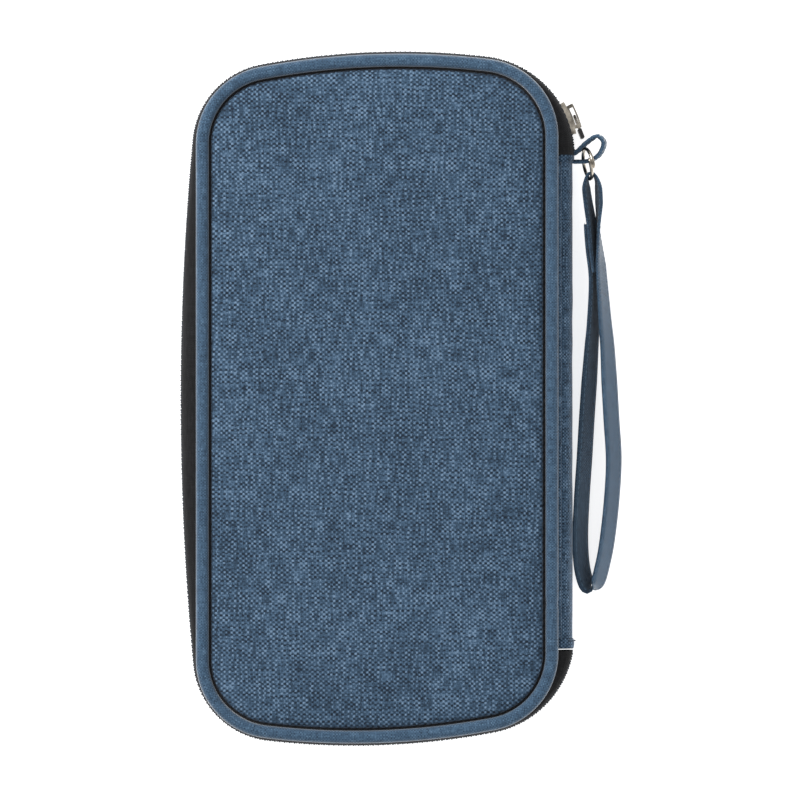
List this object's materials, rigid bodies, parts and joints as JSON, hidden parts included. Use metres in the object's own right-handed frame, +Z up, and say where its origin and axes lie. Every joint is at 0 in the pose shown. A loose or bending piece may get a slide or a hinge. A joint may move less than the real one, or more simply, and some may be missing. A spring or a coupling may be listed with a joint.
{
  "type": "zip-round travel passport holder",
  "caption": "Zip-round padded travel passport holder with passport pockets, card slots, a zipped coin pocket and a wrist strap.",
  "frame": {"origin": "middle of the rear cover's flat outer face, on which the holder lies", "axes": "+X across the case towards the spine and wrist strap, +Y along the case towards the closed zip end, +Z up through its thickness"},
  "size_m": [0.15, 0.2404, 0.026],
  "materials": {
    "heather_cloth": "heathered woven polyester, matt",
    "binding_cloth": "fine woven binding cloth, matt",
    "lining_cloth": "plain woven nylon lining",
    "pocket_cloth": "plain woven nylon",
    "foam_board": "closed-cell foam board",
    "zip_tape": "ribbed woven zip tape",
    "zip_coil": "nylon coil",
    "elastic": "knitted elastic",
    "nickel": "polished nickel plate",
    "black_puller": "moulded rubbery plastic"
  },
  "bodies": {
    "rear_half": {"rear_outer_fabric": "heather_cloth", "rear_foam_board": "foam_board", "rear_lining": "lining_cloth", "rear_binding": "binding_cloth", "rear_zip_tape": "zip_tape", "rear_zip_coil": "zip_coil", "passport_pocket_lower": "pocket_cloth", "passport_pocket_upper": "pocket_cloth", "pen_loop": "elastic"},
    "spine": {"spine_panel": "heather_cloth", "spine_lining": "lining_cloth", "spine_hem_upper": "heather_cloth", "spine_hem_lower": "heather_cloth", "strap_tab": "binding_cloth"},
    "front_half": {"front_outer_fabric": "heather_cloth", "front_foam_board": "foam_board", "front_lining": "lining_cloth", "front_binding": "binding_cloth", "front_zip_tape": "zip_tape", "front_zip_coil": "zip_coil", "front_tape_end_upper": "zip_tape", "front_tape_end_lower": "zip_tape", "card_slot_1": "pocket_cloth", "card_slot_2": "pocket_cloth", "card_slot_3": "pocket_cloth", "card_slot_4": "pocket_cloth", "card_slot_5": "pocket_cloth", "coin_pocket_bag": "pocket_cloth", "coin_pocket_strip": "pocket_cloth", "coin_zip_tape_lower": "zip_tape", "coin_zip_tape_upper": "zip_tape"},
    "zip_slider": {"slider_body": "nickel", "slider_bridge": "nickel"},
    "zip_pull": {"pull_link": "nickel", "pull_tab": "black_puller"},
    "ring": {"strap_ring": "nickel"},
    "strap": {"wrist_strap": "binding_cloth"},
    "coin_slider": {"coin_slider": "nickel"},
    "coin_pull": {"coin_pull": "black_puller"}
  },
  "joints": [
    {"name": "spine_fold", "type": "hinge", "parent": "rear_half", "child": "spine", "pos_m": [0.0628, 0, 0.0055], "axis": [0, 1, 0], "range_deg": [0, 90], "deforming": ["front_tape_end_upper", "front_tape_end_lower"]},
    {"name": "cover_fold", "type": "hinge", "parent": "spine", "child": "front_half", "pos_m": [0.0628, 0, 0.0205], "axis": [0, 1, 0], "range_deg": [0, 90]},
    {"name": "zip_travel", "type": "hinge", "parent": "rear_half", "child": "zip_slider", "pos_m": [0.034, 0.0843, 0.013], "axis": [0, 0, 1], "range_deg": [0, 50]},
    {"name": "pull_swing", "type": "hinge", "parent": "zip_slider", "child": "zip_pull", "pos_m": [0.06833, 0.09783, 0.013], "axis": [0, 0, 1], "range_deg": [0, 95]},
    {"name": "ring_swing", "type": "hinge", "parent": "spine", "child": "ring", "pos_m": [0.0719, 0.08648, 0.012], "axis": [0, 0, -1], "range_deg": [-35, 0]},
    {"name": "strap_swing", "type": "hinge", "parent": "ring", "child": "strap", "pos_m": [0.0741, 0.07612, 0.012], "axis": [0, 0, -1], "range_deg": [-17, 0]},
    {"name": "coin_zip_travel", "type": "slide", "parent": "front_half", "child": "coin_slider", "axis": [1, 0, 0], "range_m": [0, 0.08]},
    {"name": "coin_pull_swing", "type": "hinge", "parent": "coin_slider", "child": "coin_pull", "pos_m": [-0.04, -0.014, 0.0186], "axis": [0, 1, 0], "range_deg": [0, 42]}
  ],
  "couplings": [
    {"joint": "cover_fold", "follows": "spine_fold", "ratio": 1}
  ]
}
